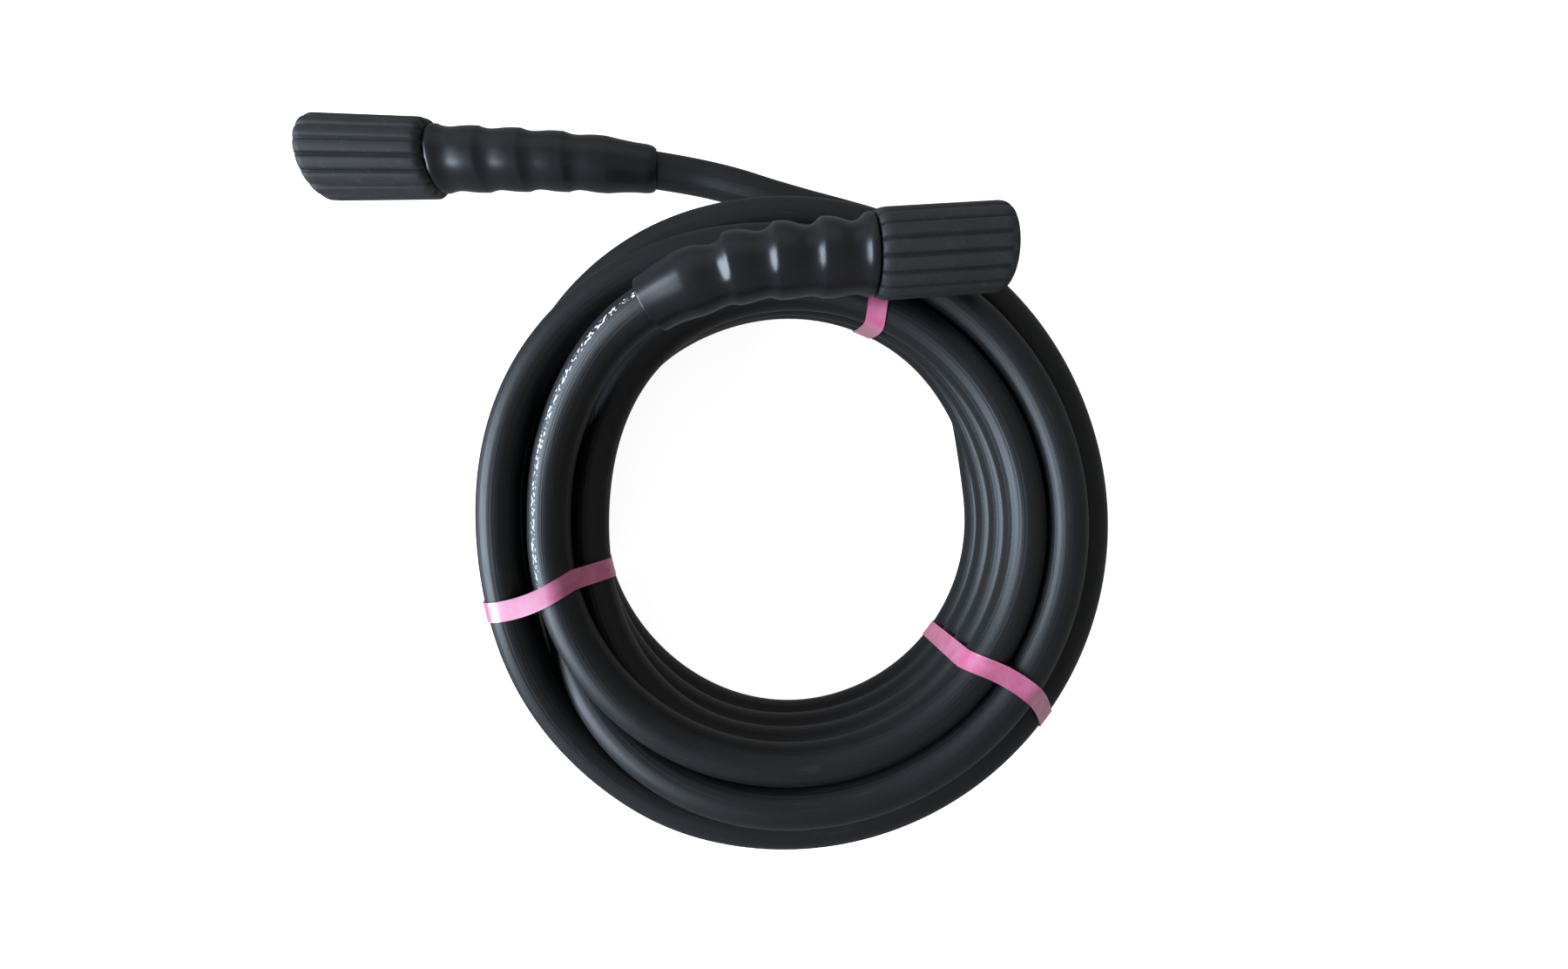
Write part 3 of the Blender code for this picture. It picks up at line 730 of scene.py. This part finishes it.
def stem_outline(nut, fitting):
    """The stem's outline: a disc in the ferrule, a neck, a collar and the probe, with a bore."""
    hose = bpy.context.scene.hose_settings
    collar = nut.floor + fitting.insert_wall + 2 * CLEARANCE
    front = collar + fitting.collar_width
    tip = front + fitting.probe_length
    seat = tip - fitting.seat_from_tip
    seat_back = seat - fitting.seat_width
    disc = hose.diameter / 2 - CLEARANCE
    lip_back = -CLEARANCE * 4 - FERRULE_LIP
    lip = fitting.ferrule_lip / 2 - CLEARANCE
    neck, collar_r = fitting.neck / 2, fitting.collar / 2
    probe, bore = fitting.probe / 2, fitting.bore / 2
    edge = 0.0004
    nose = 0.0015
    return [
        (lip_back - STEM_DISC, bore),
        (lip_back - STEM_DISC, disc),
        (lip_back, disc),
        (lip_back, lip),
        (-CLEARANCE * 2, lip),
        (-CLEARANCE * 2, neck),
        (collar, neck),
        (collar, collar_r - edge),
        (collar + edge, collar_r),
        (front - edge, collar_r),
        (front, collar_r - edge),
        (front, probe + edge),
        (front + edge, probe),
        (seat_back - edge / 2, probe),
        (seat_back, probe - edge / 2),
        (seat_back, fitting.seat / 2),
        (seat, fitting.seat / 2),
        (seat, probe - edge / 2),
        (seat + edge / 2, probe),
        *arc(tip - nose, probe - nose, nose, nose, 90, 0, count=5),
        (tip, bore + edge),
        (tip - edge, bore),
    ]


def ring_outline(nut, fitting):
    """The O ring's round section in its seat near the probe's tip."""
    tip = nut.floor + fitting.insert_wall + 2 * CLEARANCE + fitting.collar_width + fitting.probe_length
    middle = tip - fitting.seat_from_tip - fitting.seat_width / 2
    radius = fitting.seat / 2 + CLEARANCE + fitting.ring / 2
    return arc(middle, radius, fitting.ring / 2, fitting.ring / 2, 0, 360, count=16)[:-1]


def crest_radius(sleeve, end, back):
    """A bend restrictor's radius over its crests, at a distance behind the nut's back face."""
    last, length = getattr(sleeve, f"last_{end}"), sleeve_length(end)
    along = (back - sleeve.first) / (last - sleeve.first)
    if along <= 1:
        return (sleeve.first_diameter + (sleeve.last_diameter - sleeve.first_diameter) * along) / 2
    fade = (back - last) / (length - last)
    narrowing = (sleeve.tail_diameter - sleeve.last_diameter) / 2
    return sleeve.last_diameter / 2 + narrowing * sin(fade * pi / 2)


def hollowed(sleeve, end, inside):
    """A function that sinks the finger hollows into a sleeve's outside, deeper on its finger side."""
    side = radians(FINGER_SIDES[end])
    last = getattr(sleeve, f"last_{end}")
    # How rounded the crests are, and how far the deep side reaches round, less being further
    softness = 0.004
    reach = 0.4

    def hollow(point):
        radius = hypot(point.y, point.z)
        back = -point.x
        if radius < inside or not sleeve.first < back < last:
            return point
        along = (back - sleeve.first) / (last - sleeve.first)
        share = along * (sleeve.bumps - 1) % 1
        wave = sin(pi * (share + sleeve.skew * sin(pi * share)))
        sunk = sqrt(wave * wave + softness) - sqrt(softness)
        facing = cos(atan2(point.z, point.y) - side)
        depth = sleeve.valley + (sleeve.finger - sleeve.valley) * max(facing, 0) ** reach
        scale = 1 - depth * sunk / radius
        return Vector((point.x, point.y * scale, point.z * scale))

    return hollow


def sleeve_outline(sleeve, end, ferrule_radius):
    """A bend restrictor's outline, with its crests outside and a stepped bore."""
    front = CLEARANCE * 2
    clearance = 0.0006
    edge = 0.0006
    past = getattr(sleeve, f"tail_{end}")
    narrow = bpy.context.scene.hose_settings.diameter / 2 + clearance
    wide = ferrule_radius + clearance
    end_play = 0.0008
    row_spacing = 0.0009
    tail_rounding = 0.42
    step_at = -FERRULE_END - end_play
    length = sleeve_length(end)
    rows = np.arange(front + edge, length - edge, row_spacing)
    outside = [(-back, crest_radius(sleeve, end, back)) for back in rows]
    tail = sleeve.tail_diameter / 2
    fall = max(edge, past * tail_rounding)
    return [
        (-front, crest_radius(sleeve, end, front) - edge),
        *outside,
        *arc(-length + edge, tail - fall, -edge - past, fall, 90, 0, count=8),
        (-length - past, narrow + edge / 2),
        *between((-length - past + edge / 2, narrow), (step_at, narrow), count=14),
        (step_at, narrow),
        (step_at, wide),
        (-front, wide),
    ]


def plastic_finish(name, colour, grain_height, roughness, speckle, specular=0.5):
    """Moulded black plastic: a fine grain, faint flow marks and lighter rubbed patches."""
    finish = Finish(name, Specular_IOR_Level=specular)
    grain = finish.noise(2600, 3)
    patches = finish.noise(90, 3)
    rubbed = finish.noise(420, 4, 0.7).above(0.62, 0.08) * speckle
    shade = finish.mix(patches, lighter(colour, 0.82), lighter(colour, 1.22))
    shade = finish.mix(rubbed, shade, lighter(colour, 2.4))
    return finish.wear(
        Base_Color=shade,
        Roughness=roughness - 0.05 + 0.1 * patches + 0.08 * rubbed,
        Normal=finish.bump(grain, grain_height),
    )


def metal_finish(name, colour, roughness, ring_scale):
    """Turned metal: fine tool rings and a few darker stains."""
    finish = Finish(name, Metallic=1.0)
    rings = finish.noise(ring_scale, 2)
    stains = finish.noise(240, 4, 0.65)
    shade = finish.mix(stains.above(0.55, 0.15), colour, lighter(colour, 0.62))
    return finish.wear(
        Base_Color=shade,
        Roughness=roughness + 0.16 * stains,
        Normal=finish.bump(rings, 0.00002),
    )


def hose_finish():
    """The hose's satin black cover, with a broken line of white print."""
    hose = bpy.context.scene.hose_settings
    finish = Finish("hose_rubber", Specular_IOR_Level=0.42)
    along = finish.attribute("along")
    side = finish.attribute("print_side")
    across = finish.attribute("print_across")
    grain = finish.noise(1800, 3)
    broad = finish.noise(45, 3)
    drawn = finish.noise(1, 2, where=finish.vector(along * 6, across * 9, side * 9))
    scuffs = finish.noise(1, 3, 0.6, where=finish.vector(along * 60, across * 5, side * 5)).above(0.66, 0.07)
    shade = finish.mix(broad, lighter(hose.colour, 0.8), lighter(hose.colour, 1.35))
    shade = finish.mix(scuffs * 0.5, shade, lighter(hose.colour, 2.2))
    # Small marks in groups, in a narrow band that comes and goes along the hose
    marks = finish.noise(1, 1, where=finish.vector(along * 620, across * 9, 0.0)).above(0.56, 0.03)
    words = finish.noise(1, 0, where=finish.vector(along * 90, 8.1, 0.0)).above(0.31, 0.02)
    band = (1 - across.maths("ABSOLUTE").above(0.12, 0.02)) * side.above(0.3, 0.05)
    stretch = 1 - along.maths("MODULO", hose.print_repeat).above(hose.print_length, 0.001)
    printed = marks * words * band * stretch
    shade = finish.mix(printed * 0.95, shade, tuple(hose.print_colour))
    return finish.wear(
        Base_Color=shade,
        Roughness=0.38 + 0.06 * broad + 0.08 * drawn + 0.14 * printed + 0.1 * scuffs,
        Normal=finish.bump(grain, 0.00003, finish.bump(drawn, 0.00018)),
    )


def strap_finish():
    """Glossy pink film, stretched into faint lengthwise streaks."""
    colour = tuple(bpy.context.scene.strap_settings.colour)
    finish = Finish("strap_film", Coat_Roughness=0.27, Specular_IOR_Level=0.7)
    across = finish.attribute("strap_across")
    along = finish.attribute("strap_along")
    streaks = finish.noise(1, 3, where=finish.vector(across * 2200, along * 25, 0.0))
    cloudy = finish.noise(160, 3)
    shade = finish.mix(streaks, lighter(colour, 0.82), lighter(colour, 1.25))
    stretched = (0.78, 0.32, 0.5)
    shade = finish.mix(cloudy.above(0.5, 0.25) * 0.35, shade, stretched)
    return finish.wear(
        Base_Color=shade,
        Roughness=0.24 + 0.12 * cloudy,
        Coat_Weight=0.8 + 0.2 * streaks,
        Normal=finish.bump(streaks, 0.00003),
    )


def mark_hose(mesh, line, sides):
    """Stores how far along the hose, and where from its line of print, each point lies."""
    hose = bpy.context.scene.hose_settings
    offsets = points_of(mesh).reshape(len(line), sides, 3) - line[:, None, :]
    ways = np.gradient(line, axis=0)
    ways /= np.linalg.norm(ways, axis=1)[:, None]
    ups = np.array(UP) - ways * ways[:, 2:]
    ups /= np.linalg.norm(ups, axis=1)[:, None]
    outs = np.cross(ups, ways)
    turns = np.arctan2((offsets * ups[:, None]).sum(axis=2), (offsets * outs[:, None]).sum(axis=2))
    along = walked_along(line)
    from_b = along[-1] - along
    beyond = np.maximum(from_b - hose.print_length, 0)
    # The line of print turns down over a short length, and then sways by a few degrees
    twist_length = 0.2
    sway_degrees = 7
    sway_rate = 2.1
    twist = hose.print_twist * (1 - np.exp(-beyond / twist_length))
    sway = sway_degrees * np.sin(beyond * sway_rate) * np.minimum(beyond, 1)
    aside = turns - np.radians(hose.print_angle - twist + sway)[:, None]
    store(
        mesh,
        along=np.repeat(from_b, sides),
        print_side=np.cos(aside).ravel(),
        print_across=np.sin(aside).ravel(),
    )


def strands_at(azimuth):
    """The middles of the coil's turns at an azimuth: radius and height."""
    first, last = wound_range()
    wound = (WINDING_START - azimuth) % 360
    passes = [wound + 360 * turn for turn in range(len(TURN_PLACES))]
    return [on_winding(passed) for passed in passes if first <= passed <= last]


def strap_path(azimuth, reach, step_out, lap):
    """A strap's line round the outermost turns at an azimuth, closed by a lap over its start."""
    points_in_bend = 9
    spacing = 0.0012
    step_length = 0.006
    centres = strands_at(azimuth)
    hull = [centres[i] for i in convex_hull_2d([Vector(centre) for centre in centres])]
    area = sum(a[0] * b[1] - b[0] * a[1] for a, b in zip(hull, hull[1:] + hull[:1]))
    hull = hull if area > 0 else hull[::-1]
    # The lap starts at the outermost turn that also lies low
    lowness = 0.5
    start = max(range(len(hull)), key=lambda i: hull[i][0] - lowness * hull[i][1])
    hull = hull[start:] + hull[:start]
    points = []
    for i, centre in enumerate(hull):
        before, after = hull[i - 1], hull[(i + 1) % len(hull)]
        first = atan2(centre[1] - before[1], centre[0] - before[0]) - pi / 2
        last = atan2(after[1] - centre[1], after[0] - centre[0]) - pi / 2
        sweep = (last - first) % tau
        for share in np.linspace(0, 1, points_in_bend):
            angle = first + sweep * share
            points.append((centre[0] + reach * cos(angle), centre[1] + reach * sin(angle)))
    loop = np.array(points + points[:1])
    walked = walked_along(loop)
    even = np.linspace(0, walked[-1] + lap, round((walked[-1] + lap) / spacing) + 1)
    line = points_at(loop, walked, even % walked[-1])
    ways = np.gradient(line, axis=0)
    normals = np.stack([ways[:, 1], -ways[:, 0]], axis=1)
    normals /= np.linalg.norm(normals, axis=1)[:, None]
    raised = np.clip((even - walked[-1] + step_length) / step_length, 0, 1)
    line += normals * (step_out * raised * raised * (3 - 2 * raised))[:, None]
    return np.hstack([line, np.zeros((len(line), 1))]), even


def strap_profile(width, thickness):
    """A strap's thin section with slightly thicker edges, as a closed flat curve."""
    half = width / 2
    middle = thickness / 2
    # The edges' half thickness, how close to the edge it starts, and the flatter inner side
    bead = thickness * 0.75
    edge_power = 6
    inner_share = 0.7
    shares = np.linspace(-1, 1, 9)
    upper = [(middle + (bead - middle) * abs(share) ** edge_power, half * share) for share in shares]
    lower = [(-depth * inner_share, across) for depth, across in reversed(upper)]
    curve = bpy.data.curves.new("strap_profile", "CURVE")
    curve.dimensions = "2D"
    spline = curve.splines.new("POLY")
    spline.points.add(len(upper) + len(lower) - 1)
    for knot, (depth, across) in zip(spline.points, upper + lower):
        knot.co = (depth, across, 0, 1)
    spline.use_cyclic_u = True
    return placed("strap_profile", curve)


def tied_strap(name, azimuth, profile):
    """One strap's mesh, round the coil at an azimuth and bowed sideways at its middle."""
    strap, hose = bpy.context.scene.strap_settings, bpy.context.scene.hose_settings
    inner = hose.inner_radius
    outer = inner + 3 * hose.diameter + 2 * hose.gap
    reach = hose.diameter / 2 + strap.thickness
    step_out = strap.thickness * 1.1
    line, even = strap_path(azimuth, reach, step_out, strap.lap)
    mesh = swept(name, line, profile)
    points = points_of(mesh)
    sides = len(profile.data.splines[0].points)
    store(mesh, strap_across=points[:, 2], strap_along=np.repeat(even, sides))
    share = np.clip((points[:, 0] - inner) / (outer - inner), 0, 1)
    points[:, 2] -= strap.bow * 4 * share * (1 - share)
    mesh.vertices.foreach_set("co", points.ravel())
    turn = radians(azimuth)
    outward = Vector((cos(turn), sin(turn), 0))
    sideways = Vector((sin(turn), -cos(turn), 0))
    stand = Matrix((outward, UP, sideways)).transposed().to_4x4()
    mesh.transform(Matrix.Translation((COIL_AXIS.x, COIL_AXIS.y, 0)) @ stand)
    return mesh


class HOSE_OT_straps(bpy.types.Operator):
    """Add the three plastic straps that tie the coil"""

    bl_idname = "washer_hose.straps"
    bl_label = "Straps"

    def execute(self, context):
        strap = context.scene.strap_settings
        material = strap_finish()
        profile = strap_profile(strap.width, strap.thickness)
        for name, azimuth in STRAPS.items():
            mesh = tied_strap(name, azimuth, profile)
            add_piece(f"tied_{name}", mesh, material, "hose", name)
        bpy.data.objects.remove(profile)
        return {"FINISHED"}


class HOSE_OT_nuts(bpy.types.Operator):
    """Add the two ribbed hand nuts"""

    bl_idname = "washer_hose.nuts"
    bl_label = "Hand nuts"

    def execute(self, context):
        nut, fitting = context.scene.nut_settings, context.scene.fitting_settings
        material = plastic_finish("nut_plastic", tuple(nut.colour), 0.00006, 0.56, 0.3, specular=0.2)
        for end in ENDS:
            length, mouth, back = (getattr(nut, f"{size}_{end}") for size in ("length", "mouth", "back"))
            mesh = turned(
                f"ribbed_nut_{end}",
                nut_outline(nut, fitting, length, mouth, back),
                nut.ribs * STEPS_PER_RIB,
                coupling_place(end),
                ribbed(nut, fitting, length),
            )
            node = f"hand_nut_{end}"
            add_piece(f"ribbed_nut_{end}", mesh, material, f"nut_{end}", node, sharp=40)
        return {"FINISHED"}


class HOSE_OT_fittings(bpy.types.Operator):
    """Add the threaded inserts, stems and O rings, and finish the ferrules"""

    bl_idname = "washer_hose.fittings"
    bl_label = "Inserts and stems"

    def execute(self, context):
        nut, fitting = context.scene.nut_settings, context.scene.fitting_settings
        brass = metal_finish("brass", tuple(fitting.colour), 0.2, 900)
        steel = metal_finish("plated_steel", STEEL_COLOUR, 0.28, 700)
        seal = plastic_finish("seal_rubber", SEAL_COLOUR, 0.00001, 0.42, 0.1)
        for end in ENDS:
            place = coupling_place(end)
            name = f"threaded_insert_{end}"
            insert = turned(name, insert_outline(nut, fitting), INSERT_STEPS, place, threaded(fitting))
            add_piece(name, insert, brass, f"nut_{end}", f"thread_insert_{end}")
            stem = turned(f"turned_stem_{end}", stem_outline(nut, fitting), STEM_STEPS, place)
            add_piece(f"turned_stem_{end}", stem, brass, "hose", f"stem_{end}")
            ring = turned(f"seal_ring_{end}", ring_outline(nut, fitting), STEM_STEPS, place)
            add_piece(f"seal_ring_{end}", ring, seal, "hose", f"o_ring_{end}", sharp=60)
            ferrule = frame["nodes"][f"ferrule_{end}"]
            ferrule.data.materials.clear()
            ferrule.data.materials.append(steel)
        return {"FINISHED"}


class HOSE_OT_sleeves(bpy.types.Operator):
    """Add the two soft bend restrictors"""

    bl_idname = "washer_hose.sleeves"
    bl_label = "Bend restrictors"

    def execute(self, context):
        sleeve = context.scene.sleeve_settings
        material = plastic_finish("sleeve_plastic", tuple(sleeve.colour), 0.00002, 0.3, 0.12)
        low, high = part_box("ferrule_a")
        ferrule_radius = (high.y - low.y) / 2
        inner_wall = 0.0009
        for end in ENDS:
            bend = bending(end)
            hollow = hollowed(sleeve, end, ferrule_radius + inner_wall)
            name = f"grip_sleeve_{end}"
            mesh = turned(
                name,
                sleeve_outline(sleeve, end, ferrule_radius),
                SLEEVE_STEPS,
                coupling_place(end),
                lambda point, hollow=hollow, bend=bend: bend(hollow(point)),
            )
            node = f"bend_restrictor_{end}"
            add_piece(name, mesh, material, "hose", node, sharp=50)
        return {"FINISHED"}


class HOSE_OT_hose(bpy.types.Operator):
    """Add the hose, coiled, from coupling A to coupling B"""

    bl_idname = "washer_hose.hose"
    bl_label = "Hose"

    def execute(self, context):
        hose = context.scene.hose_settings
        line = hose_line()
        mesh = swept("hose", line, radius=hose.diameter / 2, sides=hose.sides)
        mark_hose(mesh, line, hose.sides)
        piece = add_piece("hose", mesh, hose_finish(), "hose")
        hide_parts("hose_coil", "hose_last_turn", "hose_tail_a")
        coupling_b = ["ribbed_nut_b", "threaded_insert_b", "turned_stem_b"]
        coupling_b += ["seal_ring_b", "ferrule_b", "grip_sleeve_b"]
        return {"FINISHED"}


def area_light(name, place, size, power, colour):
    """A soft light of some width and height that shines on the origin."""
    lamp = bpy.data.lights.new(name, "AREA")
    lamp.shape = "RECTANGLE"
    lamp.size, lamp.size_y = size
    lamp.energy = power
    lamp.color = colour
    holder = placed(name, lamp)
    holder.location = place
    holder.rotation_euler = (-Vector(place)).to_track_quat("-Z", "Y").to_euler()


class HOSE_OT_stage(bpy.types.Operator):
    """Add the floor, the lights and the camera"""

    bl_idname = "washer_hose.stage"
    bl_label = "Stage"

    def execute(self, context):
        stage = context.scene.stage_settings
        camera = bpy.data.cameras.new("camera")
        camera.lens = stage.lens
        camera.sensor_width = 36
        camera.clip_start = 0.01
        holder = placed("camera", camera)
        holder.location = Vector((COIL_AXIS.x, COIL_AXIS.y, 0)) + Vector(stage.camera_offset)
        holder.rotation_euler = Euler(stage.camera_turn)
        context.scene.camera = holder

        bm = bmesh.new()
        bmesh.ops.create_grid(bm, x_segments=1, y_segments=1, size=6)
        mesh = bpy.data.meshes.new("floor")
        bm.to_mesh(mesh)
        bm.free()
        finish = Finish(
            "floor",
            Base_Color=(*stage.floor_colour, 1),
            Roughness=0.9,
            Specular_IOR_Level=0.1,
            Emission_Color=(1, 1, 1, 1),
            Emission_Strength=stage.floor_glow,
        )
        mesh.materials.append(finish.material)
        floor = placed("floor", mesh)
        floor.location.z = -FLOOR_DROP
        floor.visible_glossy = False

        world = bpy.data.worlds.new("studio")
        world.use_nodes = True
        background = world.node_tree.nodes["Background"]
        background.inputs["Color"].default_value = (0.97, 0.98, 1.0, 1)
        background.inputs["Strength"].default_value = stage.ambient
        context.scene.world = world
        area_light("window", (-2.16, -0.38, 1.15), (2.2, 1.6), stage.window_power, (0.71, 0.845, 1.0))
        area_light("top", (-0.1, 1.3, 1.1), (2.2, 1.3), stage.top_power, (0.95, 0.98, 1.0))
        context.scene.view_settings.view_transform = "Standard"
        return {"FINISHED"}


class HOSE_PT_panel(bpy.types.Panel):
    """Sidebar panel that lists the operators and the settings."""

    bl_idname = "HOSE_PT_panel"
    bl_label = "Washer Hose"
    bl_space_type = "VIEW_3D"
    bl_region_type = "UI"
    bl_category = "Washer Hose"

    def draw(self, context):
        for operator in OPERATORS:
            self.layout.operator(operator.bl_idname)
        for group, settings_type in SETTINGS.items():
            for name in settings_type.__annotations__:
                self.layout.prop(getattr(context.scene, group), name)


SETTINGS = {
    "hose_settings": HoseSettings,
    "nut_settings": NutSettings,
    "fitting_settings": FittingSettings,
    "sleeve_settings": SleeveSettings,
    "strap_settings": StrapSettings,
    "stage_settings": StageSettings,
}
OPERATORS = (HOSE_OT_nuts, HOSE_OT_fittings, HOSE_OT_sleeves, HOSE_OT_straps, HOSE_OT_hose, HOSE_OT_stage)
CLASSES = (*SETTINGS.values(), *OPERATORS, HOSE_PT_panel)


def register():
    for made in CLASSES:
        bpy.utils.register_class(made)
    for name, group in SETTINGS.items():
        setattr(bpy.types.Scene, name, PointerProperty(type=group))


def unregister():
    for name in SETTINGS:
        delattr(bpy.types.Scene, name)
    for made in reversed(CLASSES):
        bpy.utils.unregister_class(made)


def main():
    """Builds everything."""
    register()
    bpy.ops.washer_hose.nuts()
    bpy.ops.washer_hose.fittings()
    bpy.ops.washer_hose.sleeves()
    bpy.ops.washer_hose.straps()
    bpy.ops.washer_hose.hose()
    bpy.ops.washer_hose.stage()


if __name__ == "__main__":
    main()
